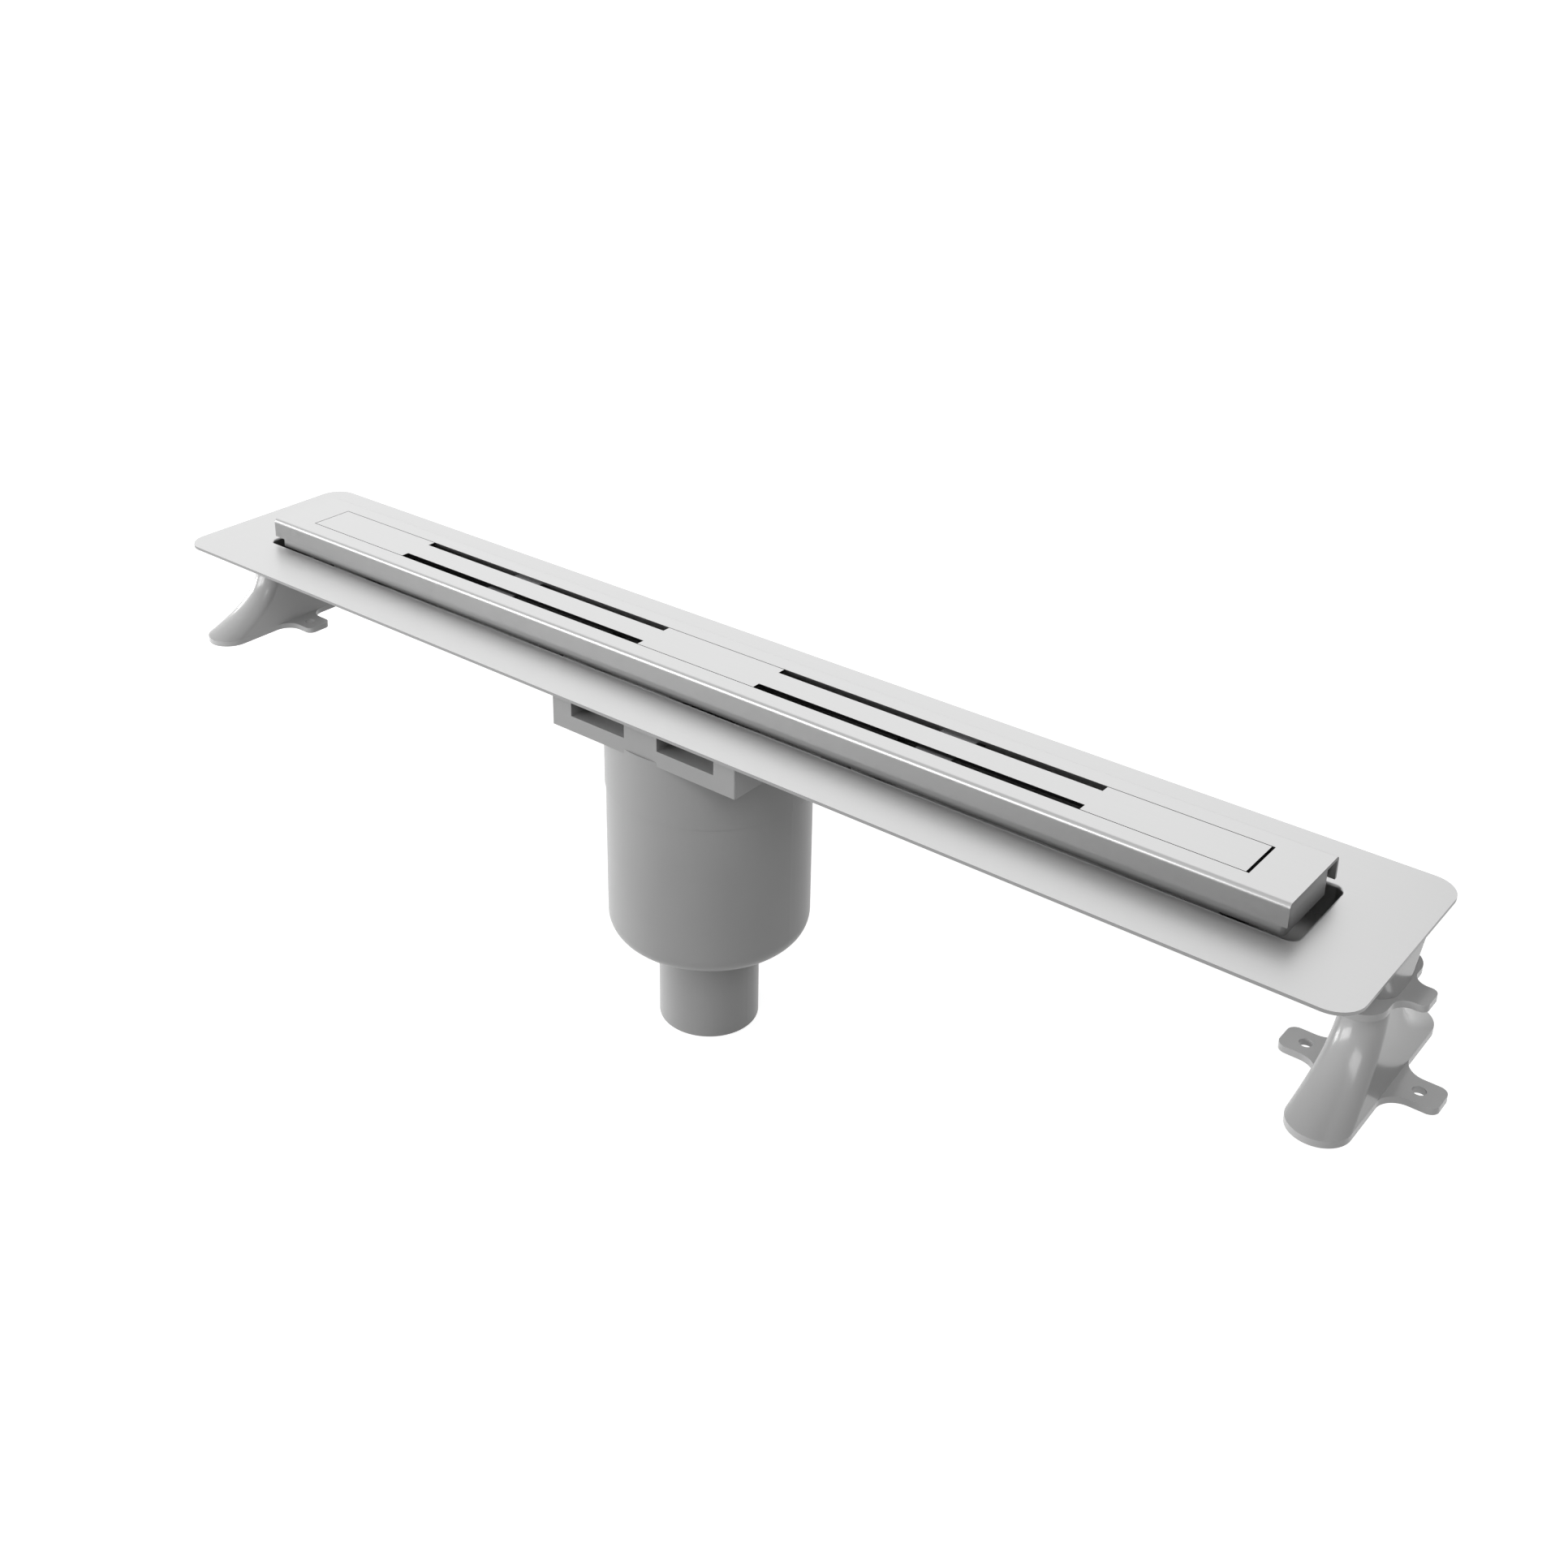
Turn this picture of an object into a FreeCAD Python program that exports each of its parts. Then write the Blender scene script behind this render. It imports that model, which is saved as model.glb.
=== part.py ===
import FreeCAD, Part
import math
import os
import Sketcher

# Linear shower drain: a stainless channel with a flange, a raised cover with a flush insert,
# a moulded water trap under it and two height adjustable legs.
# X runs along the channel, Y to the back, Z up. The origin is the centre of the flange's top.

doc = FreeCAD.newDocument("LinearDrain")
sheet = doc.addObject("Spreadsheet::Sheet", "Sizes")

SIZES = {
    # channel sheet
    "channel_length": 600, "channel_width": 46.6, "channel_depth": 15.5, "channel_corner": 4,
    "flange_end": 35, "flange_side": 31.7, "flange_corner": 12, "sheet_wall": 1.5,
    "rolled_edge": 1.2, "fold_radius": 1.4, "outlet_radius": 21,
    # raised cover
    "cover_end_gap": 4, "cover_side_gap": 1, "cover_height": 14, "cover_lift": 3.8,
    "cover_wall": 1.5, "cover_bend": 2, "insert_inset": 22.5, "insert_width": 23,
    "insert_gap": 0.4, "insert_end_gap": 1.4, "slot_width": 4.3, "slot_end_inset": 71,
    "slot_start": 35.2,
    # carrier box under the cover
    "carrier_end_inset": 2, "carrier_gap": 1.5, "carrier_wall": 1.2, "carrier_drop": 2.3,
    "carrier_corner": 2, "support_width": 18, "support_thick": 1.5, "support_inset": 11.5,
    "pad_length": 14, "pad_wall": 1.6, "pad_grip": 5, "pad_inset": 33,
    # trap head
    "head_length": 111.4, "head_side_inset": 1, "head_drop": 20.2, "head_floor": 2.2,
    "head_corner": 0.8, "fit_gap": 0.3, "window_width": 33.4, "window_pitch": 53.3,
    "window_low": 12.3, "window_high": 4.2, "window_deep": 11,
    "skirt_radius": 50.5, "skirt_wall": 2.8, "skirt_end": 50,
    "boss_wall": 3.4, "boss_end": 30,
    # trap body with the outlet spigot
    "skirt_step": 0.5, "body_wall": 2.6, "body_end": 132, "body_round": 10,
    "neck_wall": 2.4, "neck_top": 28, "seal_place": 39, "seal_thick": 1.6,
    "pipe_radius": 25, "pipe_wall": 2.6, "pipe_end": 183.5,
    # parts inside the trap
    "gasket_thick": 1, "sleeve_wall": 1.7, "sleeve_rim": 1.2, "sleeve_rim_out": 1.6,
    "tube_gap": 1, "tube_wall": 1.9, "tube_end": 104, "tube_rim": 1.2,
    "groove_place": 24, "groove_deep": 0.6, "ring_thick": 1.5,
    "cup_radius": 36, "cup_wall": 2, "cup_top": 62, "cup_lift": 11, "cup_foot": 5,
    "sieve_thick": 1, "sieve_hole": 1.6, "knob_radius": 3, "knob_height": 5,
    # legs
    "leg_inset": 11.5, "bracket_half_width": 10.8, "bracket_top_reach": 16,
    "bracket_low_reach": 4, "bracket_end": 17, "plate_thick": 3,
    "plate_half_width": 11, "plate_reach": 16, "plate_wing": 21.5, "plate_wing_width": 13,
    "plate_root": 6, "plate_tip": 3,
    "foot_end": 60.8, "rim_thick": 3, "foot_half_width": 12.4, "foot_reach": 39.3,
    "column_half_width": 9, "column_reach": 6, "flare_power": 2.6, "shell_wall": 2.2,
    "foot_wing": 31.3, "foot_wing_width": 15, "foot_root": 9,
    "foot_tip": 4, "fixing_hole": 5.4, "fixing_pitch": 44.3,
    "stud_radius": 4, "stud_gap": 0.15, "stud_top": 8, "stud_end": 45,
    "nut_flats": 13, "nut_height": 6.5, "weld_stud": 2, "weld_stud_length": 6,
    "weld_stud_pitch": 22,
}

# Sizes that follow from others. One that uses another stands before it.
DERIVED = {
    "pad_pitch": "(({carrier_length} / 2 - {pad_inset}) * 2 / 3)",
    "carrier_length": "({cover_length} - 2 * {carrier_end_inset})",
    "carrier_width": "({cover_width} - 2 * {cover_wall} - 2 * {carrier_gap})",
    "support_pitch": "(({insert_length} / 2 - {support_inset}) / 2)",
    "slot_length": "({insert_length} / 2 - {slot_end_inset} - {slot_start})",
    "insert_length": "({cover_length} - 2 * {insert_inset})",
    "cover_length": "({channel_length} - 2 * {cover_end_gap})",
    "cover_width": "({channel_width} - 2 * {cover_side_gap})",
    "leg_place": "({flange_length} / 2 - {leg_inset})",
    "flange_length": "({channel_length} + 2 * {flange_end})",
    "flange_width": "({channel_width} + 2 * {flange_side})",
    "head_width": "(2 * ({skirt_radius} - {head_side_inset}))",
    "body_radius": "({skirt_radius} - {skirt_step})",
}
for row, (alias, value) in enumerate(SIZES.items(), start=1):
    sheet.set("A%d" % row, alias)
    sheet.set("B%d" % row, str(value))
    sheet.setAlias("B%d" % row, alias)
doc.recompute()


def cell(text):
    """Turn each {name} in a formula into its own formula or the sheet's cell."""
    for name, formula in DERIVED.items():
        text = text.replace("{%s}" % name, formula)
    for alias in SIZES:
        text = text.replace("{%s}" % alias, "Sizes.%s" % alias)
    return text


def size(text):
    """Give the present value of a formula."""
    return float(sheet.evalExpression(cell(text).replace("Sizes.", "")))


def new_body(name, x="0", y="0"):
    body = doc.addObject("PartDesign::Body", name)
    body.Label = name
    body.setExpression("Placement.Base.x", cell(x))
    body.setExpression("Placement.Base.y", cell(y))
    return body


def new_sketch(body, name, plane, offset):
    """Lay a sketch on one of the body's planes, moved along that plane's normal."""
    sketch = body.newObject("Sketcher::SketchObject", "%s_%s" % (body.Name, name))
    for item in body.Origin.OriginFeatures:
        if item.Role == plane:
            sketch.AttachmentSupport = [(item, "")]
    sketch.MapMode = "FlatFace"
    sketch.setExpression("AttachmentOffset.Base.z", cell(offset))
    return sketch


def bind(sketch, index, formula):
    sketch.setExpression("Constraints[%d]" % index, cell(formula))


def polygon(body, name, plane, offset, corners):
    """Draw a closed outline whose corners are pairs of formulas."""
    sketch = new_sketch(body, name, plane, offset)
    points = [FreeCAD.Vector(size(x), size(y), 0) for x, y in corners]
    count = len(points)
    for i in range(count):
        sketch.addGeometry(Part.LineSegment(points[i], points[(i + 1) % count]), False)
    for i in range(count):
        sketch.addConstraint(Sketcher.Constraint("Coincident", i, 2, (i + 1) % count, 1))
    for i, (x, y) in enumerate(corners):
        for kind, formula, value in (("DistanceX", x, points[i].x), ("DistanceY", y, points[i].y)):
            index = sketch.addConstraint(Sketcher.Constraint(kind, -1, 1, i, 1, value))
            bind(sketch, index, formula)
    return sketch


def rectangle(body, name, plane, offset, x0, x1, y0, y1):
    return polygon(body, name, plane, offset, [(x0, y0), (x1, y0), (x1, y1), (x0, y1)])


def circle(body, name, plane, offset, radius, x="0", y="0"):
    sketch = new_sketch(body, name, plane, offset)
    centre = FreeCAD.Vector(size(x), size(y), 0)
    sketch.addGeometry(Part.Circle(centre, FreeCAD.Vector(0, 0, 1), size(radius)), False)
    for kind, formula, value in (("DistanceX", x, centre.x), ("DistanceY", y, centre.y)):
        bind(sketch, sketch.addConstraint(Sketcher.Constraint(kind, -1, 1, 0, 3, value)), formula)
    bind(sketch, sketch.addConstraint(Sketcher.Constraint("Radius", 0, size(radius))), radius)
    return sketch


def stadium(body, name, offset, half_width, reach):
    """Draw a slot outline along Y, whose end arcs are centred at plus and minus the reach."""
    sketch = new_sketch(body, name, "XY_Plane", offset)
    r, c = size(half_width), size(reach)
    up = FreeCAD.Vector(0, 0, 1)
    back = Part.Circle(FreeCAD.Vector(0, c, 0), up, r)
    front = Part.Circle(FreeCAD.Vector(0, -c, 0), up, r)
    sketch.addGeometry(Part.ArcOfCircle(back, 0, math.pi), False)
    sketch.addGeometry(Part.LineSegment(FreeCAD.Vector(-r, c, 0), FreeCAD.Vector(-r, -c, 0)), False)
    sketch.addGeometry(Part.ArcOfCircle(front, math.pi, 2 * math.pi), False)
    sketch.addGeometry(Part.LineSegment(FreeCAD.Vector(r, -c, 0), FreeCAD.Vector(r, c, 0)), False)
    for i in range(4):
        sketch.addConstraint(Sketcher.Constraint("Tangent", i, 2, (i + 1) % 4, 1))
    for arc, formula, value in ((0, reach, c), (2, "-(%s)" % reach, -c)):
        sketch.addConstraint(Sketcher.Constraint("DistanceX", -1, 1, arc, 3, 0.0))
        bind(sketch, sketch.addConstraint(Sketcher.Constraint("DistanceY", -1, 1, arc, 3, value)), formula)
    sketch.addConstraint(Sketcher.Constraint("Equal", 0, 2))
    bind(sketch, sketch.addConstraint(Sketcher.Constraint("Radius", 0, r)), half_width)
    return sketch


def rounded_rectangle(body, name, offset, half_x, half_y, radius):
    """Draw a rectangle about the origin with round corners."""
    sketch = new_sketch(body, name, "XY_Plane", offset)
    x, y, r = size(half_x), size(half_y), size(radius)
    up = FreeCAD.Vector(0, 0, 1)
    centres = [(x - r, y - r), (r - x, y - r), (r - x, r - y), (x - r, r - y)]
    ends = [((x - r, y), (r - x, y)), ((-x, y - r), (-x, r - y)),
            ((r - x, -y), (x - r, -y)), ((x, r - y), (x, y - r))]
    for i in range(4):
        arc = Part.Circle(FreeCAD.Vector(*centres[i], 0), up, r)
        sketch.addGeometry(Part.ArcOfCircle(arc, i * math.pi / 2, (i + 1) * math.pi / 2), False)
        start, end = (FreeCAD.Vector(*point, 0) for point in ends[i])
        sketch.addGeometry(Part.LineSegment(start, end), False)
    for i in range(8):
        sketch.addConstraint(Sketcher.Constraint("Tangent", i, 2, (i + 1) % 8, 1))
    for i, kind in ((1, "Horizontal"), (3, "Vertical")):
        sketch.addConstraint(Sketcher.Constraint(kind, i))
    for i in (2, 4, 6):
        sketch.addConstraint(Sketcher.Constraint("Equal", 0, i))
    bind(sketch, sketch.addConstraint(Sketcher.Constraint("Radius", 0, r)), radius)
    low_x, low_y = "-(%s)" % half_x, "-(%s)" % half_y
    for kind, line, formula in (("DistanceY", 1, half_y), ("DistanceX", 3, low_x),
                                ("DistanceY", 5, low_y), ("DistanceX", 7, half_x)):
        constraint = Sketcher.Constraint(kind, -1, 1, line, 1, size(formula))
        bind(sketch, sketch.addConstraint(constraint), formula)
    return sketch


def feature(body, kind, name, sketch, length=None, reverse=False):
    item = body.newObject("PartDesign::" + kind, "%s_%s" % (body.Name, name))
    item.Profile = sketch
    if length is not None:
        item.setExpression("Length", cell(length))
    item.Reversed = reverse
    doc.recompute()
    return item


def pad(body, name, sketch, length):
    return feature(body, "Pad", name, sketch, length)


def pocket(body, name, sketch, length, upward=False):
    """Cut down from the sketch, or up from it."""
    before = body.Shape.Volume
    item = feature(body, "Pocket", name, sketch, length, reverse=upward)
    if not item.Shape.Volume < before - 1e-6:
        raise RuntimeError("%s cuts nothing" % item.Name)
    return item


def turn(body, name, corners, kind="Revolution"):
    """Turn an outline of (radius, height) about the body's Z axis."""
    sketch = polygon(body, name + "_outline", "XZ_Plane", "0", corners)
    item = body.newObject("PartDesign::" + kind, "%s_%s" % (body.Name, name))
    item.Profile = sketch
    item.ReferenceAxis = (sketch, ["V_Axis"])
    item.Angle = 360
    doc.recompute()
    return item


def round_edges(body, name, radius, wanted, kind="Fillet"):
    """Round the edges for which the test holds."""
    base = body.Tip
    picked = ["Edge%d" % (i + 1) for i, edge in enumerate(base.Shape.Edges) if wanted(edge)]
    if not picked:
        raise RuntimeError("%s %s finds no edge" % (body.Name, name))
    item = body.newObject("PartDesign::" + kind, "%s_%s" % (body.Name, name))
    item.Base = (base, picked)
    item.setExpression("Radius", cell(radius))
    doc.recompute()
    return item


def around(body, name, original, count):
    pattern = body.newObject("PartDesign::PolarPattern", "%s_%s" % (body.Name, name))
    pattern.Originals = [original]
    pattern.Axis = (next(i for i in body.Origin.OriginFeatures if i.Role == "Z_Axis"), [""])
    pattern.Angle = 360
    pattern.Occurrences = count
    body.Tip = pattern
    doc.recompute()
    return pattern


def near(a, b):
    return abs(a - b) < 0.01


def upright(edge):
    """True for a straight edge along Z."""
    box = edge.BoundBox
    return box.XLength < 0.01 and box.YLength < 0.01 and box.ZLength > 0.01


def level_at(edge, z):
    return near(edge.BoundBox.ZMin, z) and near(edge.BoundBox.ZMax, z)


def at_corner(edge, x, y):
    box = edge.BoundBox
    return upright(edge) and near(abs(box.XMin), x) and near(abs(box.YMin), y)


# Channel: one folded sheet with a wide flange and a rolled edge round its opening
channel_under = "-({channel_depth} + {sheet_wall})"


def make_channel():
    body = new_body("channel_body")
    pad(body, "flange", rectangle(body, "flange_plan", "XY_Plane", "-{sheet_wall}",
        "-{flange_length} / 2", "{flange_length} / 2", "-{flange_width} / 2", "{flange_width} / 2"),
        "{sheet_wall}")
    round_edges(body, "flange_corners", "{flange_corner}", upright)
    inner_x, inner_y = "{channel_length} / 2", "{channel_width} / 2"
    pad(body, "trough", rounded_rectangle(body, "trough_plan", channel_under,
        inner_x + " + {sheet_wall}", inner_y + " + {sheet_wall}", "{channel_corner} + {sheet_wall}"),
        "{channel_depth} + {sheet_wall} / 2")
    pocket(body, "inside", rounded_rectangle(body, "inside_plan", "0", inner_x, inner_y,
        "{channel_corner}"), "{channel_depth}")
    reach_x, reach_y = size(inner_x) + 1, size(inner_y) + 1
    round_edges(body, "rolled_edge", "{rolled_edge}",
                lambda e: level_at(e, 0) and abs(e.BoundBox.XMax) < reach_x
                and abs(e.BoundBox.YMax) < reach_y and abs(e.BoundBox.XMin) < reach_x)
    round_edges(body, "trough_fold", "{fold_radius}", lambda e: level_at(e, size(channel_under)))
    pocket(body, "outlet", circle(body, "outlet_plan", "XY_Plane", "-{channel_depth} / 2",
        "{outlet_radius}"), "{channel_depth}")


# Cover: an inverted U of folded sheet, open at its ends, with a cut-out for the insert
def make_cover():
    frame = new_body("cover_frame")
    half, inner = "{cover_width} / 2", "({cover_width} / 2 - {cover_wall})"
    under = "({cover_height} - {cover_wall})"
    pad(frame, "section", polygon(frame, "section_plan", "YZ_Plane", "-{cover_length} / 2", [
        ("-" + half, "{cover_lift}"), ("-" + inner, "{cover_lift}"), ("-" + inner, under),
        (inner, under), (inner, "{cover_lift}"), (half, "{cover_lift}"),
        (half, "{cover_height}"), ("-" + half, "{cover_height}")]), "{cover_length}")
    top, half_value = size("{cover_height}"), size(half)
    round_edges(frame, "outer_bends", "{cover_bend}",
                lambda e: e.BoundBox.XLength > 100 and level_at(e, top)
                and near(abs(e.BoundBox.YMin), half_value))
    inner_value, under_value = size(inner), size(under)
    round_edges(frame, "inner_bends", "{cover_bend} - {cover_wall}",
                lambda e: e.BoundBox.XLength > 100 and level_at(e, under_value)
                and near(abs(e.BoundBox.YMin), inner_value))
    pocket(frame, "cut_out", rectangle(frame, "cut_out_plan", "XY_Plane", "{cover_height}",
        "-({insert_length} / 2 + {insert_gap})", "{insert_length} / 2 + {insert_end_gap}",
        "-({insert_width} / 2 + {insert_gap})", "{insert_width} / 2 + {insert_gap}"),
        "{cover_wall} * 1.5")

    insert = new_body("cover_insert")
    x, y = "{insert_length} / 2", "{insert_width} / 2"
    a, b = "{slot_start}", "({slot_start} + {slot_length})"
    n = "({insert_width} / 2 - {slot_width})"
    half_outline = [("-" + x, y), ("-" + b, y), ("-" + b, n), ("-" + a, n), ("-" + a, y),
                    (a, y), (a, n), (b, n), (b, y), (x, y)]
    mirrored = [(px, "-" + py) for px, py in reversed(half_outline)]
    pad(insert, "plate", polygon(insert, "plate_plan", "XY_Plane", under, half_outline + mirrored),
        "{cover_wall}")


# Carrier: a closed band of sheet that holds the cover up, with cross supports and clip-on pads
def make_carrier():
    carrier = new_body("cover_carrier")
    x, y = "{carrier_length} / 2", "{carrier_width} / 2"
    pad(carrier, "block", rectangle(carrier, "block_plan", "XY_Plane", "-{carrier_drop}",
        "-" + x, x, "-" + y, y), "{carrier_drop} + {cover_height} - {cover_wall}")
    round_edges(carrier, "outer_corners", "{carrier_corner}", upright)
    inner_x, inner_y = "({carrier_length} / 2 - {carrier_wall})", "({carrier_width} / 2 - {carrier_wall})"
    pocket(carrier, "inside", rectangle(carrier, "inside_plan", "XY_Plane", "{cover_height}",
        "-" + inner_x, inner_x, "-" + inner_y, inner_y), "{cover_height} + {carrier_drop} + 1")
    inner_values = (size(inner_x), size(inner_y))
    round_edges(carrier, "inner_corners", "{carrier_corner} - {carrier_wall}",
                lambda e: at_corner(e, *inner_values))

    for number in range(5):
        support = new_body("insert_support_%d" % (number + 1), "{support_pitch} * %d" % (number - 2))
        top = "({cover_height} - {cover_wall})"
        t = "{support_thick}"
        pad(support, "strip", polygon(support, "strip_plan", "YZ_Plane", "-{support_width} / 2", [
            ("-" + inner_y, top + " - 4 * " + t), ("-" + inner_y + " + " + t, top + " - 4 * " + t),
            ("-" + inner_y + " + " + t, top + " - " + t), (inner_y + " - " + t, top + " - " + t),
            (inner_y + " - " + t, top + " - 4 * " + t), (inner_y, top + " - 4 * " + t),
            (inner_y, top), ("-" + inner_y, top)]), "{support_width}")

    number = 0
    for side in (-1, 1):
        for place in (-3, -1, 1, 3):
            number += 1
            clip = new_body("carrier_pad_%d" % number, "{pad_pitch} * %d / 2" % place)
            sign = "" if side > 0 else "-"
            outer = "%s({carrier_width} / 2 + {pad_wall})" % sign
            face = "%s({carrier_width} / 2)" % sign
            back = "%s({carrier_width} / 2 - {carrier_wall})" % sign
            inner = "%s({carrier_width} / 2 - {carrier_wall} - {pad_wall})" % sign
            top = "({pad_grip} - {carrier_drop})"
            pad(clip, "section", polygon(clip, "section_plan", "YZ_Plane", "-{pad_length} / 2", [
                (outer, "-{channel_depth}"), (outer, top), (face, top), (face, "-{carrier_drop}"),
                (back, "-{carrier_drop}"), (back, top), (inner, top), (inner, "-{channel_depth}")]),
                "{pad_length}")


# Trap head: a moulded box round the outlet with a round skirt, open windows and a threaded boss
sleeve_out = "({outlet_radius} - {fit_gap})"
sleeve_in = "({outlet_radius} - {fit_gap} - {sleeve_wall})"
head_top = "-({channel_depth} + {sheet_wall} + {gasket_thick})"
skirt_in = "({skirt_radius} - {skirt_wall})"
neck_out = "({skirt_radius} - {skirt_wall} - {fit_gap})"


def make_head():
    head = new_body("siphon_head")
    x, y = "{head_length} / 2", "{head_width} / 2"
    pad(head, "box", rectangle(head, "box_plan", "XY_Plane", "-{head_drop}",
        "-" + x, x, "-" + y, y), "{head_drop} - {sheet_wall}")
    round_edges(head, "box_corners", "{head_corner}", upright)
    turn(head, "skirt", [(skirt_in, "-{skirt_end}"), ("{skirt_radius}", "-{skirt_end}"),
                         ("{skirt_radius}", "-{head_drop}"),
                         ("{skirt_radius}", "-{head_drop} + {head_floor}"),
                         (skirt_in, "-{head_drop} + {head_floor}")])
    turn(head, "boss", [(sleeve_out, "-{boss_end}"), (sleeve_out + " + {boss_wall}", "-{boss_end}"),
                        (sleeve_out + " + {boss_wall}", "-{head_drop} + {head_floor} / 2"),
                        (sleeve_out, "-{head_drop} + {head_floor} / 2")])
    slot = "({channel_width} / 2 + {sheet_wall} + {fit_gap})"
    pocket(head, "channel_way", rectangle(head, "channel_way_plan", "XY_Plane", "0",
        "-{head_length}", "{head_length}", "-" + slot, slot),
        "{channel_depth} + {sheet_wall} + {gasket_thick}")
    pocket(head, "outlet", circle(head, "outlet_plan", "XY_Plane", "0", sleeve_out), "{boss_end} + 1")
    # each long side has two windows that the screed grips, with a solid web between them
    for side, name in ((-1, "front"), (1, "back")):
        for place, end in ((-1, "left"), (1, "right")):
            x0 = "%d * {window_pitch} / 2 - {window_width} / 2" % place
            x1 = "%d * {window_pitch} / 2 + {window_width} / 2" % place
            y0 = "%d * ({head_width} / 2 + 1)" % side
            y1 = "%d * ({head_width} / 2 - {window_deep})" % side
            pocket(head, "window_%s_%s" % (name, end), rectangle(head, "window_plan_%s_%s" % (name, end),
                "XY_Plane", "-{window_high}", x0, x1, y0, y1), "{window_low} - {window_high}")


# Trap body: a deep round cup with the neck that enters the skirt and the outlet spigot below
def make_body():
    body = new_body("siphon_body")
    neck_in = neck_out + " - {neck_wall}"
    groove = neck_out + " - {seal_thick}"
    inner = "({body_radius} - {body_wall})"
    floor = "-({body_end} - {body_wall})"
    bore = "({pipe_radius} - {pipe_wall})"
    seal_low = "-({seal_place} + {seal_thick} / 2 + {fit_gap} / 3)"
    seal_high = "-({seal_place} - {seal_thick} / 2 - {fit_gap} / 3)"
    turn(body, "cup", [
        (neck_in, "-{neck_top}"), (neck_out, "-{neck_top}"), (neck_out, seal_high),
        (groove, seal_high), (groove, seal_low), (neck_out, seal_low), (neck_out, "-{skirt_end}"),
        ("{body_radius}", "-{skirt_end}"), ("{body_radius}", "-{body_end}"),
        ("{pipe_radius}", "-{body_end}"), ("{pipe_radius}", "-{pipe_end}"), (bore, "-{pipe_end}"),
        (bore, floor), (inner, floor), (inner, "-{skirt_end} - 2 * {body_wall}"),
        (neck_in, "-{skirt_end} - {body_wall}")])

    def rim(radius, z):
        return lambda e: level_at(e, z) and near(e.BoundBox.XMax, radius)
    round_edges(body, "outer_round", "{body_round}", rim(size("{body_radius}"), -size("{body_end}")))
    round_edges(body, "inner_round", "{body_round} - {body_wall}", rim(size(inner), size(floor)))
    ring("body_seal", neck_out + " - {seal_thick} / 2", "-{seal_place}", "{seal_thick} / 2")


def ring(name, centre, height, thickness):
    """Make an O-ring as a torus that is bound to its seat."""
    item = doc.addObject("Part::Torus", name)
    item.Label = name
    item.setExpression("Radius1", cell(centre))
    item.setExpression("Radius2", cell(thickness))
    item.setExpression("Placement.Base.z", cell(height))
    doc.recompute()


# Parts inside the trap: gasket, clamping sleeve, dip tube with its ring, sieve and still cup
tube_out = "(%s - {tube_gap})" % sleeve_in
tube_in = "(%s - {tube_wall})" % tube_out


def make_inside():
    gasket = new_body("head_gasket")
    under = "-({channel_depth} + {sheet_wall})"
    edge = "({channel_width} / 2 + {sheet_wall})"
    turn(gasket, "ring", [("{outlet_radius}", head_top), (edge, head_top), (edge, under),
                          ("{outlet_radius}", under)])

    sleeve = new_body("clamp_sleeve")
    rim_top = "-({channel_depth} - {sleeve_rim})"
    rim_out = "({outlet_radius} + {sleeve_rim_out})"
    turn(sleeve, "turned", [(sleeve_in, "-{boss_end}"), (sleeve_out, "-{boss_end}"),
                            (sleeve_out, "-{channel_depth}"), (rim_out, "-{channel_depth}"),
                            (rim_out, rim_top), (sleeve_in, rim_top)])

    tube = new_body("dip_tube")
    tube_top = "-({channel_depth} - {sleeve_rim} - {tube_rim})"
    groove = tube_out + " - {groove_deep}"
    low = "-({groove_place} + {ring_thick} / 2 + {fit_gap} / 3)"
    high = "-({groove_place} - {ring_thick} / 2 - {fit_gap} / 3)"
    turn(tube, "turned", [(tube_in, "-{tube_end}"), (tube_out, "-{tube_end}"), (tube_out, low),
                          (groove, low), (groove, high), (tube_out, high), (tube_out, rim_top),
                          ("{outlet_radius}", rim_top), ("{outlet_radius}", tube_top),
                          (tube_in, tube_top)])
    ring("dip_tube_seal", groove + " + {ring_thick} / 2 + {fit_gap} / 6", "-{groove_place}",
         "{ring_thick} / 2")

    sieve = new_body("hair_sieve")
    sieve_top = "-({channel_depth} - {sleeve_rim} - {tube_rim} - {sieve_thick})"
    turn(sieve, "disc", [("0", tube_top), ("{outlet_radius}", tube_top),
                         ("{outlet_radius}", sieve_top), ("{knob_radius}", sieve_top),
                         ("{knob_radius}", sieve_top + " + {knob_height}"),
                         ("0", sieve_top + " + {knob_height}")])
    for row, count in ((1, 8), (2, 14)):
        hole = pocket(sieve, "hole_row_%d" % row, circle(sieve, "hole_plan_%d" % row, "XY_Plane", "0",
            "{sieve_hole}", "{knob_radius} + {sieve_hole} * (3 * %d - 0.6)" % row), "{channel_depth}")
        around(sieve, "hole_ring_%d" % row, hole, count)

    cup = new_body("trap_cup")
    floor = "-({body_end} - {body_wall} - {cup_lift})"
    turn(cup, "shell", [("0", floor), ("{cup_radius}", floor), ("{cup_radius}", "-{cup_top}"),
                        ("{cup_radius} - {cup_wall}", "-{cup_top}"),
                        ("{cup_radius} - {cup_wall}", floor + " + {cup_wall}"),
                        ("0", floor + " + {cup_wall}")])
    foot = pad(cup, "foot", rectangle(cup, "foot_plan", "XY_Plane", "-({body_end} - {body_wall})",
        "{cup_radius} - {cup_foot}", "{cup_radius}", "-{cup_wall} / 2", "{cup_wall} / 2"),
        "{cup_lift}")
    around(cup, "feet", foot, 4)


# Legs: a bracket under the flange, a winged lock plate and a flared foot, joined by a threaded stud
bore = "({stud_radius} + {stud_gap})"
plate_under = "-({bracket_end} + {plate_thick})"


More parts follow.
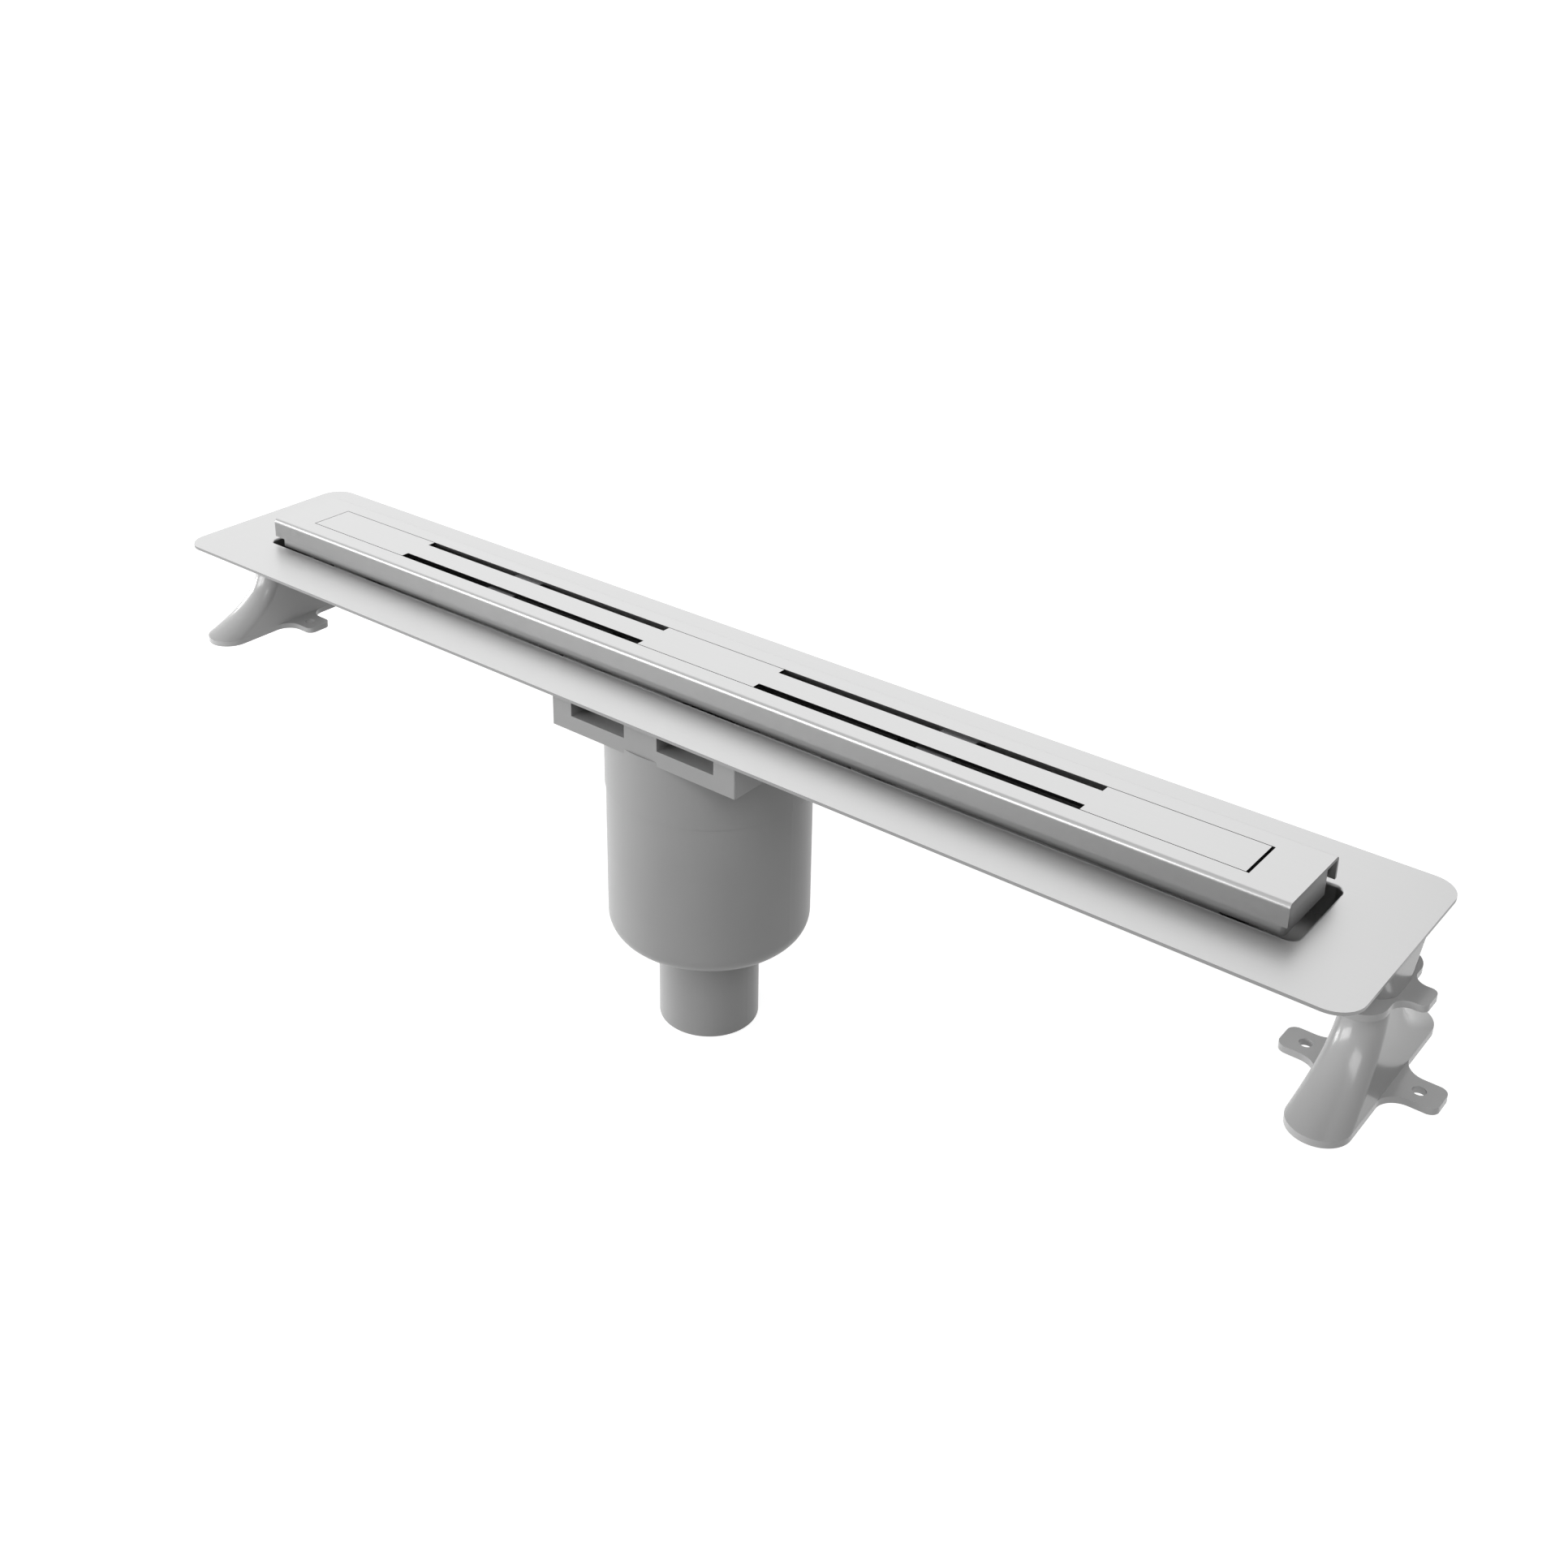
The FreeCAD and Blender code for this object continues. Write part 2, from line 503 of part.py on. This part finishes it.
def loft(body, name, sections, kind="AdditiveLoft"):
    """Join stadium sections given as (height, half width, reach)."""
    sketches = [stadium(body, "%s_%d" % (name, i), *section) for i, section in enumerate(sections)]
    item = body.newObject("PartDesign::" + kind, "%s_%s" % (body.Name, name))
    item.Profile = sketches[0]
    item.Sections = sketches[1:]
    doc.recompute()
    return item


def winged_plate(body, level, thickness, half_width, reach, wing, wing_width, root, tip):
    """A flat stadium with a wing to each side, rounded at its tips and flared at its roots."""
    pad(body, "plate", stadium(body, "plate_plan", level, half_width, reach), thickness)
    pad(body, "wings", rectangle(body, "wings_plan", "XY_Plane", level, "-" + wing, wing,
        "-%s / 2" % wing_width, "%s / 2" % wing_width), thickness)
    tip_x, root_x, y = size(wing), size(half_width), size(wing_width + " / 2")
    round_edges(body, "wing_tips", tip, lambda e: at_corner(e, tip_x, y))
    round_edges(body, "wing_roots", root, lambda e: at_corner(e, root_x, y))


def make_leg(side, name):
    place = "%d * {leg_place}" % side

    bracket = new_body("leg_bracket_" + name, place)
    loft(bracket, "block", [("-{bracket_end}", "{bracket_half_width}", "{bracket_low_reach}"),
                            ("-{sheet_wall}", "{bracket_half_width}", "{bracket_top_reach}")])
    pocket(bracket, "stud_bore", circle(bracket, "stud_bore_plan", "XY_Plane", "-{bracket_end}", bore),
           "{bracket_end} - {stud_top}", upward=True)
    for back in (-1, 1):
        pocket(bracket, "weld_bore_%d" % (back + 1), circle(bracket, "weld_bore_plan_%d" % (back + 1),
            "XY_Plane", "-{sheet_wall}", "{weld_stud} + {stud_gap}", "0",
            "%d * {weld_stud_pitch} / 2" % back), "{weld_stud_length}")

    plate = new_body("lock_plate_" + name, place)
    winged_plate(plate, plate_under, "{plate_thick}", "{plate_half_width}", "{plate_reach}",
                 "{plate_wing}", "{plate_wing_width}", "{plate_root}", "{plate_tip}")
    pocket(plate, "bore", circle(plate, "bore_plan", "XY_Plane", "0", bore), "{foot_end}")

    foot = new_body("leg_foot_" + name, place)
    winged_plate(foot, "-{foot_end}", "{rim_thick}", "{foot_half_width}", "{foot_reach}",
                 "{foot_wing}", "{foot_wing_width}", "{foot_root}", "{foot_tip}")
    top, low = "-({bracket_end} + {plate_thick})", "-({foot_end} - {rim_thick})"

    def flare(share, inset, start, end):
        """One section of the flare: slim at the top, wide at the rim."""
        bend = "pow(%g; {flare_power})" % share
        width = "{column_half_width} + ({foot_half_width} - {column_half_width}) * %s" % bend
        reach = "{column_reach} + ({foot_reach} - {column_reach}) * %s" % bend
        return ("%s + (%s - (%s)) * %g" % (start, end, start, share), width + " - " + inset, reach)
    steps = 6
    loft(foot, "flare", [flare(i / steps, "0", top, low) for i in range(steps + 1)])
    pocket(foot, "under_rim", stadium(foot, "under_rim_plan", "-{foot_end}",
        "{foot_half_width} - {shell_wall}", "{foot_reach}"), "{rim_thick}", upward=True)
    loft(foot, "hollow", [flare(i / steps, "{shell_wall}", top, low) for i in range(2, steps + 1)],
         "SubtractiveLoft")
    pocket(foot, "stud_bore", circle(foot, "stud_bore_plan", "XY_Plane", "0", bore), "{stud_end}")
    for wing in (-1, 1):
        pocket(foot, "fixing_%d" % (wing + 1), circle(foot, "fixing_plan_%d" % (wing + 1), "XY_Plane",
            "0", "{fixing_hole} / 2", "%d * {fixing_pitch} / 2" % wing), "{foot_end} + 1")
    pocket(foot, "nut_seat", hexagon(foot, "nut_seat_plan", top, "{nut_flats} / 2 + {stud_gap}"),
           "{nut_height}")

    nut = new_body("lock_nut_" + name, place)
    pad(nut, "hexagon", hexagon(nut, "hexagon_plan", top + " - {nut_height}", "{nut_flats} / 2"),
        "{nut_height}")
    pocket(nut, "bore", circle(nut, "bore_plan", "XY_Plane", "0", bore), "{foot_end}")

    stud = new_body("level_stud_" + name, place)
    point = "({stud_radius} * 0.8)"
    bevel = "({stud_radius} - %s)" % point
    turn(stud, "rod", [("0", "-{stud_end}"), (point, "-{stud_end}"),
                       ("{stud_radius}", "-{stud_end} + " + bevel),
                       ("{stud_radius}", "-{stud_top} - " + bevel), (point, "-{stud_top}"),
                       ("0", "-{stud_top}")])


def hexagon(body, name, level, apothem):
    corners = []
    for i in range(6):
        x, y = math.cos(math.radians(60 * i)), math.sin(math.radians(60 * i))
        reach = "(%s) / cos(30)" % apothem
        corners.append(("%s * %.6f" % (reach, x), "%s * %.6f" % (reach, y)))
    return polygon(body, name, "XY_Plane", level, corners)


def make_weld_studs():
    """Four short studs welded under the flange, two in each bracket."""
    studs = []
    for side in (-1, 1):
        for back in (-1, 1):
            rod = doc.addObject("Part::Cylinder", "weld_stud_%d" % len(studs))
            rod.setExpression("Radius", cell("{weld_stud}"))
            rod.setExpression("Height", cell("{weld_stud_length}"))
            rod.setExpression("Placement.Base.x", cell("%d * {leg_place}" % side))
            rod.setExpression("Placement.Base.y", cell("%d * {weld_stud_pitch} / 2" % back))
            rod.setExpression("Placement.Base.z", cell("-({sheet_wall} + {weld_stud_length})"))
            studs.append(rod)
    group = doc.addObject("Part::Compound", "weld_studs")
    group.Label = "weld_studs"
    group.Links = studs
    doc.recompute()


make_channel()
make_cover()
make_carrier()
make_head()
make_body()
make_inside()
make_leg(-1, "left")
make_leg(1, "right")
make_weld_studs()
doc.recompute()

for item in doc.Objects:
    for state in item.State:
        if state in ("Invalid", "Error"):
            raise RuntimeError("%s is %s" % (item.Name, state))

os.makedirs("parts", exist_ok=True)
nodes = [o for o in doc.Objects if o.TypeId in ("PartDesign::Body", "Part::Torus", "Part::Compound")]
for node in nodes:
    shape = node.Shape
    if shape.isNull() or not shape.isValid():
        raise RuntimeError("%s has no valid shape" % node.Label)
    shape.exportStep("parts/%s.step" % node.Label)
    print("%-18s %d solids %9.0f mm3" % (node.Label, len(shape.Solids), shape.Volume))
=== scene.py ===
import math

import bpy
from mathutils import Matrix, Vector


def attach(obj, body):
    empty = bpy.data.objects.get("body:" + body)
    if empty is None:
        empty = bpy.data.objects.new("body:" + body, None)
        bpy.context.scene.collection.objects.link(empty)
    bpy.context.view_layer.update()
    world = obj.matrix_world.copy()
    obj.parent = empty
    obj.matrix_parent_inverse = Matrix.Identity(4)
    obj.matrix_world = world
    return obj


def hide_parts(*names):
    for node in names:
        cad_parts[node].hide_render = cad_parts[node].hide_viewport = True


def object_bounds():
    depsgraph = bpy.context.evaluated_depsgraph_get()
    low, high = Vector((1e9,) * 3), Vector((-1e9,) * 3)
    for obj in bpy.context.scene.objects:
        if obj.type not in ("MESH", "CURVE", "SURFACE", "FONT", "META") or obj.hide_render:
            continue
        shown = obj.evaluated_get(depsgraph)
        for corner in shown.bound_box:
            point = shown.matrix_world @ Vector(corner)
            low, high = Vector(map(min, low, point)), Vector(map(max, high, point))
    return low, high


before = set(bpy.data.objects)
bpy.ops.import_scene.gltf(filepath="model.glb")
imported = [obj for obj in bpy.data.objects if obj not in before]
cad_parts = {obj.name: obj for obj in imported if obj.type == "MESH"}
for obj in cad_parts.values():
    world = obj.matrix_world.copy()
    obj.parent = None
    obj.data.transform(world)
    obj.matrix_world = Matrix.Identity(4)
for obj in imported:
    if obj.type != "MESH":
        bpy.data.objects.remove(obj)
cad_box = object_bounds()

# %% [markdown]
# # A linear shower drain, dressed for its picture
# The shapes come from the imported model, in metres. The flange's top is the zero of height, X runs
# along the channel and Y to the back. This file gives every piece its finish, then adds a floor,
# soft light and a camera at the photograph's place.

# %% Look at what was loaded
print("nodes:", len(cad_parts))
print("box:", [[round(v, 4) for v in corner] for corner in cad_box])

# %% [markdown]
# ## Colour and nodes
# Colours are written as sRGB hex, the way a paint chart gives them. The shader wants linear light,
# so one function does the turn. A second small function adds a node with its settings and links,
# which keeps each finish readable as a short list.


# %% A colour from hex and a node in one call
def linear(hex_colour):
    values = [int(hex_colour[i:i + 2], 16) / 255 for i in (1, 3, 5)]
    return [v / 12.92 if v <= 0.04045 else ((v + 0.055) / 1.055) ** 2.4 for v in values] + [1.0]


def add_node(tree, kind, settings=None, links=None):
    """Add a node, set its properties or sockets, and link (node, output) pairs to its inputs."""
    node = tree.nodes.new("ShaderNode" + kind)
    for name, value in (settings or {}).items():
        if name in node.inputs:
            node.inputs[name].default_value = value
        else:
            setattr(node, name, value)
    for name, (source, output) in (links or {}).items():
        tree.links.new(source.outputs[output], node.inputs[name])
    return node


# %% [markdown]
# ## A base for every finish
# Each material starts the same way: object coordinates in metres, a Principled shader and an
# output. The finish then adds its own pattern in front of the shader.


# %% Start a material
MM = 0.001


def start_material(name, **sockets):
    """Make a material with coordinates, a shader and an output, and give its sockets their values."""
    material = bpy.data.materials.new(name)
    material.use_nodes = True
    tree = material.node_tree
    tree.nodes.clear()
    place = add_node(tree, "TexCoord")
    shader = add_node(tree, "BsdfPrincipled", {k.replace("_", " "): v for k, v in sockets.items()})
    add_node(tree, "OutputMaterial", links={"Surface": (shader, "BSDF")})
    return material, tree, place, shader


# %% [markdown]
# ## What a noise can do
# A noise can move one number of the shader, drift its colour between two greys, or lift its
# surface a little. Most of a noise lies near its middle, so the colour ramp uses only that part.


# %% Let a noise move a number, the colour or the relief
ROUGHNESS_SPREAD = 0.03
RAMP_START = 0.3
RAMP_END = 0.7
BUMP_STRENGTH = 0.6


def vary(tree, shader, noise, socket, low, high):
    """Let a noise move one number of the shader between two values."""
    spread = add_node(tree, "MapRange", {"To Min": low, "To Max": high}, {"Value": (noise, "Fac")})
    tree.links.new(spread.outputs["Result"], shader.inputs[socket])


def vary_colour(tree, shader, noise, dark, light):
    """Let a noise drift the colour of the shader between two colours."""
    ramp = add_node(tree, "ValToRGB", links={"Fac": (noise, "Fac")})
    ramp.color_ramp.elements[0].position = RAMP_START
    ramp.color_ramp.elements[0].color = linear(dark)
    ramp.color_ramp.elements[1].position = RAMP_END
    ramp.color_ramp.elements[1].color = linear(light)
    tree.links.new(ramp.outputs["Color"], shader.inputs["Base Color"])


def bump(tree, shader, noise, height):
    """Let a noise lift the surface by up to a height in metres."""
    relief = add_node(tree, "Bump", {"Strength": BUMP_STRENGTH, "Distance": height},
                      {"Height": (noise, "Fac")})
    tree.links.new(relief.outputs["Normal"], shader.inputs["Normal"])


# %% [markdown]
# ## Brushed stainless steel
# The channel, the cover and the insert are stainless sheet with a fine brushed grain along their
# length. The grain makes a soft sheen, not a mirror. Its scratches are about 0.1 mm apart, too fine
# to see one by one here, so the noise stays very shallow. Stretching it along X turns its grains
# into scratches.


# %% Brushed steel, with the grain along X
STEEL_RELIEF = 0.0005 * MM


def brushed_steel(name, dark, light, rough, edge=None, grain=0.1 * MM, length=40 * MM):
    material, tree, place, shader = start_material(name, Metallic=1.0, Roughness=rough)
    stretch = add_node(tree, "Mapping", {"Scale": (1 / length, 1 / grain, 1 / grain)},
                       {"Vector": (place, "Object")})
    noise = add_node(tree, "TexNoise", {"Scale": 1.0, "Detail": 3.0}, {"Vector": (stretch, "Vector")})
    vary(tree, shader, noise, "Roughness", rough - ROUGHNESS_SPREAD, rough + ROUGHNESS_SPREAD)
    vary_colour(tree, shader, noise, dark, light)
    bump(tree, shader, noise, STEEL_RELIEF)
    if edge:
        paint_shade_on_upright_faces(tree, shader, edge)
    return material


# %% [markdown]
# ## Painted shade on walls and cut edges
# The walls and cut edges of the sheet get a darker colour than its flat faces, which is painted shade.
# The upward part of a face's normal tells them apart, and in between the two colours blend.


# %% Painted shade on upright faces
UPRIGHT_BELOW, FLAT_ABOVE = 0.3, 0.6


def paint_shade_on_upright_faces(tree, shader, edge):
    """Paint shade on upright faces, which are the sheet's walls and cut edges, as a darker colour."""
    face = add_node(tree, "NewGeometry")
    parts = add_node(tree, "SeparateXYZ", links={"Vector": (face, "True Normal")})
    level = add_node(tree, "Math", {"operation": "ABSOLUTE"}, {0: (parts, "Z")})
    share = add_node(tree, "MapRange", {"From Min": UPRIGHT_BELOW, "From Max": FLAT_ABOVE},
                     {"Value": (level, "Value")})
    blend = add_node(tree, "Mix", {"data_type": "RGBA"}, {0: (share, "Result")})
    blend.inputs[6].default_value = linear(edge)
    plain = shader.inputs["Base Color"].links[0].from_socket
    tree.links.new(plain, blend.inputs[7])
    tree.links.new(blend.outputs[2], shader.inputs["Base Color"])


# %% The five steels
# Each steel's darker upright colour is painted shade on its walls and cut edges; on the insert it darkens
# the gaps.
channel_steel = brushed_steel("brushed_stainless_channel", "#b1b1b1", "#b5b5b5", 0.38, edge="#8a8a8a")
cover_steel = brushed_steel("brushed_stainless_cover", "#aeaeae", "#b2b2b2", 0.33, edge="#989898")
insert_steel = brushed_steel("brushed_stainless_insert", "#aeaeae", "#b2b2b2", 0.33, edge="#3c3c3c")
inner_steel = brushed_steel("brushed_stainless_inside", "#a6a6a6", "#aaaaaa", 0.55)
# The supports under the insert get a dark grey, which is painted shade for the dark slots they sit in.
painted_shade_steel = brushed_steel("dull_stainless_support_painted_shade", "#606061", "#666667", 0.55)
print("steels:", [m.name for m in (channel_steel, cover_steel, insert_steel, inner_steel, painted_shade_steel)])

# %% [markdown]
# ## Moulded plastics
# The trap is grey polypropylene with a satin skin, the legs are nylon with a smoother shine, the
# clips are polyamide coloured a darker grey as painted shade, and the other parts inside are a paler
# polypropylene. Moulded skin has a faint orange peel of about 2 mm and slow colour drift, which two noises
# give.


# %% Moulded plastic
PLASTIC_IOR = 1.49
PLASTIC_RELIEF = 0.002 * MM
COLOUR_DRIFT = 40 * MM


def moulded(name, dark, light, rough, peel=2 * MM, coat=0.0):
    material, tree, place, shader = start_material(name, Roughness=rough, IOR=PLASTIC_IOR, Coat_Weight=coat)
    fine = add_node(tree, "TexNoise", {"Scale": 1 / peel, "Detail": 2.0}, {"Vector": (place, "Object")})
    slow = add_node(tree, "TexNoise", {"Scale": 1 / COLOUR_DRIFT, "Detail": 1.0},
                    {"Vector": (place, "Object")})
    vary(tree, shader, fine, "Roughness", rough - ROUGHNESS_SPREAD, rough + ROUGHNESS_SPREAD)
    vary_colour(tree, shader, slow, dark, light)
    bump(tree, shader, fine, PLASTIC_RELIEF)
    return material


trap_plastic = moulded("grey_polypropylene_trap", "#929292", "#969696", 0.34)
leg_plastic = moulded("smooth_nylon_leg", "#aeaeae", "#b2b2b2", 0.23, coat=0.15)
pale_plastic = moulded("pale_polypropylene_insert", "#c4c4c2", "#cbcbc9", 0.4)
# The clips' dark grey is painted shade, matching the shaded strip under the cover's wall.
clip_plastic = moulded("painted_shade_polyamide_clip", "#6c6c6c", "#727272", 0.45)
print("plastics:", [m.name for m in (trap_plastic, leg_plastic, pale_plastic, clip_plastic)])

# %% [markdown]
# ## Small parts
# Zinc plated steel has a cloudy, slightly blue skin. Sealing rubber is nearly black and dull.

# %% Zinc and rubber
zinc, zinc_tree, zinc_place, zinc_shader = start_material("zinc_plated_steel", Metallic=1.0, Roughness=0.4)
cloud = add_node(zinc_tree, "TexNoise", {"Scale": 1 / (3 * MM)}, {"Vector": (zinc_place, "Object")})
vary_colour(zinc_tree, zinc_shader, cloud, "#a8adb2", "#bcc1c6")

rubber, rubber_tree, rubber_place, rubber_shader = start_material("black_sealing_rubber", Roughness=0.7)
dust = add_node(rubber_tree, "TexNoise", {"Scale": 1 / (1.5 * MM)}, {"Vector": (rubber_place, "Object")})
vary_colour(rubber_tree, rubber_shader, dust, "#161616", "#222222")

# %% [markdown]
# ## Which piece has which finish
# Names tell the finish, so a list of name beginnings is enough. The first that fits counts.

# %% Give each node its material
FINISHES = [
    ("channel_body", channel_steel),
    ("cover_carrier", inner_steel), ("cover_insert", insert_steel), ("cover_", cover_steel),
    ("insert_support", painted_shade_steel), ("carrier_pad", clip_plastic), ("hair_sieve", inner_steel),
    ("siphon_", trap_plastic), ("leg_", leg_plastic), ("lock_plate", leg_plastic),
    ("lock_nut", zinc), ("level_stud", zinc), ("weld_studs", zinc),
    ("body_seal", rubber), ("dip_tube_seal", rubber), ("head_gasket", rubber),
    ("", pale_plastic),
]
for name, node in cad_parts.items():
    finish = next(material for start, material in FINISHES if name.startswith(start))
    node.data.materials.clear()
    node.data.materials.append(finish)
print("dressed:", len(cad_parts), "nodes")

# %% [markdown]
# ## Clips without an outer lip
# The photograph shows an even strip under the cover's wall. The solid clips grip the carrier from
# both sides, and their outer lip breaks that strip, so here each clip keeps its inner lip and foot.


# %% Corners and faces of a box
def box_faces(low, high):
    """The corners and faces of a box between two points."""
    corners = [(x, y, z) for x in (low[0], high[0]) for y in (low[1], high[1]) for z in (low[2], high[2])]
    faces = [(0, 1, 3, 2), (4, 6, 7, 5), (0, 4, 5, 1), (2, 3, 7, 6), (0, 2, 6, 4), (1, 5, 7, 3)]
    return corners, faces


# %% Build a lipless clip in place of each solid one
CARRIER_FACE = 19.3 * MM
CARRIER_WALL = 1.2 * MM
CARRIER_BOTTOM = -2.3 * MM
CLIP_WALL = 1.6 * MM
CLIP_GAP = 0.1 * MM

clip_names = [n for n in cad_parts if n.startswith("carrier_pad")]
for name in clip_names:
    spots = [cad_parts[name].matrix_world @ Vector(c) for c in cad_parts[name].bound_box]
    low_x, high_x = min(s.x for s in spots), max(s.x for s in spots)
    low_z, high_z = min(s.z for s in spots), max(s.z for s in spots)
    side = 1 if sum(s.y for s in spots) > 0 else -1
    face = side * CARRIER_FACE
    back = side * (CARRIER_FACE - CARRIER_WALL - CLIP_GAP)
    inner = side * (CARRIER_FACE - CARRIER_WALL - CLIP_WALL)
    foot_top = CARRIER_BOTTOM - CLIP_GAP
    foot = (face, inner, low_z, foot_top)
    lip = (back, inner, foot_top, high_z)
    corners, faces = [], []
    for y0, y1, z0, z1 in (foot, lip):
        more, sides = box_faces((low_x, min(y0, y1), z0), (high_x, max(y0, y1), z1))
        faces += [tuple(i + len(corners) for i in f) for f in sides]
        corners += more
    mesh = bpy.data.meshes.new(name + "_lipless")
    mesh.from_pydata(corners, [], faces)
    mesh.materials.append(clip_plastic)
    clip = bpy.data.objects.new(name + "_lipless", mesh)
    bpy.context.collection.objects.link(clip)
    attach(clip, "root")
    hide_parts(name)
print("lipless clips:", len(clip_names))

# %% [markdown]
# ## Floor and background
# The picture is on pure white. The floor lies at the spigot's end, the lowest point of the drain.
# It is a pale matt sheet that keeps the drain's shadow. White is added for rays that see it
# directly or by reflection, more of it far away, where the lamps hardly reach.


# %% A white for direct and reflected rays
def seen_directly(tree):
    """1 for rays from the camera, from gloss and through glass, 0 for other rays."""
    rays = add_node(tree, "LightPath")
    pair = add_node(tree, "Math", {"operation": "MAXIMUM"})
    tree.links.new(rays.outputs["Is Camera Ray"], pair.inputs[0])
    tree.links.new(rays.outputs["Is Glossy Ray"], pair.inputs[1])
    both = add_node(tree, "Math", {"operation": "MAXIMUM"})
    tree.links.new(pair.outputs[0], both.inputs[0])
    tree.links.new(rays.outputs["Is Transmission Ray"], both.inputs[1])
    return both


# %% Lay the floor
FLOOR_SIZE = 12.0
FLOOR_DROP = 0.5 * MM
bpy.ops.mesh.primitive_grid_add(x_subdivisions=2, y_subdivisions=2, size=FLOOR_SIZE,
                                location=(0, 0, cad_box[0][2] - FLOOR_DROP))
floor = bpy.context.object
floor.name = "floor"
print("floor at:", round(floor.location.z, 4), "m")

# %% Give the floor its finish
NEAR, FAR = 0.4, 2.5
NEAR_WHITE, FAR_WHITE = 0.78, 0.98
sheet, sheet_tree, sheet_place, sheet_shader = start_material("white_matt_floor", Roughness=0.9,
                                                              Base_Color=linear("#c4c4c4"))
distance = add_node(sheet_tree, "VectorMath", {"operation": "LENGTH"}, {0: (sheet_place, "Object")})
rise = add_node(sheet_tree, "MapRange",
                {"From Min": NEAR, "From Max": FAR, "To Min": NEAR_WHITE, "To Max": FAR_WHITE},
                {"Value": (distance, "Value")})
lift = add_node(sheet_tree, "Emission", links={"Strength": (rise, "Result")})
total = add_node(sheet_tree, "AddShader")
sheet_tree.links.new(sheet_shader.outputs["BSDF"], total.inputs[0])
sheet_tree.links.new(lift.outputs["Emission"], total.inputs[1])
choice = add_node(sheet_tree, "MixShader", links={"Fac": (seen_directly(sheet_tree), 0)})
sheet_tree.links.new(sheet_shader.outputs["BSDF"], choice.inputs[1])
sheet_tree.links.new(total.outputs["Shader"], choice.inputs[2])
end = next(n for n in sheet_tree.nodes if n.type == "OUTPUT_MATERIAL")
sheet_tree.links.new(choice.outputs["Shader"], end.inputs["Surface"])
floor.data.materials.append(sheet)

# %% [markdown]
# ## Light
# The top faces mirror a wide panel behind the drain, which turns them pale while the front walls stay
# mid grey, darkened further by painted shade. A low panel at the front left and one at the left model
# the round of the trap, and a high one at the right lights the legs. The world fills the shade and is white
# where it is seen.

# %% World
SHADE_LIGHT, SEEN_WHITE = 0.1, 1.0
world = bpy.data.worlds.new("studio")
bpy.context.scene.world = world
world.use_nodes = True
world.node_tree.nodes.clear()
shade = add_node(world.node_tree, "Background", {"Color": linear("#ffffff"), "Strength": SHADE_LIGHT})
white = add_node(world.node_tree, "Background", {"Color": linear("#ffffff"), "Strength": SEEN_WHITE})
blend = add_node(world.node_tree, "MixShader", links={"Fac": (seen_directly(world.node_tree), 0)})
world.node_tree.links.new(shade.outputs[0], blend.inputs[1])
world.node_tree.links.new(white.outputs[0], blend.inputs[2])
add_node(world.node_tree, "OutputWorld", links={"Surface": (blend, "Shader")})


# %% Panels
def panel(name, place, aim, width, height, power):
    """Hang a lit panel at a place, turned to face its aim. Sizes are in metres, power in watts."""
    light = bpy.data.lights.new(name, "AREA")
    light.shape = "RECTANGLE"
    light.size, light.size_y, light.energy = width, height, power
    lamp = bpy.data.objects.new(name, light)
    bpy.context.collection.objects.link(lamp)
    lamp.location = place
    lamp.rotation_euler = (Vector(aim) - Vector(place)).to_track_quat("-Z", "Y").to_euler()
    return lamp


panels = [
    panel("back_panel", (-1.3, 1.5, 1.3), (0, 0, 0), 3.0, 2.2, 15),
    panel("high_right_panel", (1.1, -1.2, 1.4), (0.2, 0, 0), 1.2, 0.9, 15),
    panel("front_panel", (-0.9, -1.4, 0.3), (0, 0, -0.05), 1.2, 0.6, 17),
    panel("left_panel", (-2.6, -0.4, 0.3), (0, 0, -0.08), 1.2, 0.9, 42),
]
print("panels:", [(lamp.name, lamp.data.energy) for lamp in panels])

# %% [markdown]
# ## Camera
# The camera was found from the straight edges of the flange and cover and the round of the spigot.
# The picture's centre isn't where its vanishing lines meet, so the lens is shifted a little.

# %% Place the camera
IMAGE_SIDE = 1932
FOCAL_PIXELS = 2310.6
CENTRE_PIXEL = (863.6, 659.1)
CAMERA_PLACE = (0.5072, -0.6089, 0.4004)
LOOK_DOWN = 0.389
TURN_LEFT = 0.6998
SENSOR_WIDTH = 36
camera_data = bpy.data.cameras.new("camera")
camera = bpy.data.objects.new("camera", camera_data)
bpy.context.collection.objects.link(camera)
camera.location = CAMERA_PLACE
camera.rotation_euler = (math.pi / 2 - LOOK_DOWN, 0, TURN_LEFT)
camera_data.sensor_width = SENSOR_WIDTH
camera_data.lens = FOCAL_PIXELS * camera_data.sensor_width / IMAGE_SIDE
camera_data.shift_x = 0.5 - CENTRE_PIXEL[0] / IMAGE_SIDE
camera_data.shift_y = CENTRE_PIXEL[1] / IMAGE_SIDE - 0.5
camera_data.clip_start = 0.01
bpy.context.scene.camera = camera
bpy.context.scene.view_settings.view_transform = "Standard"
print("lens:", round(camera_data.lens, 2), "mm")
print("shift:", round(camera_data.shift_x, 4), round(camera_data.shift_y, 4))
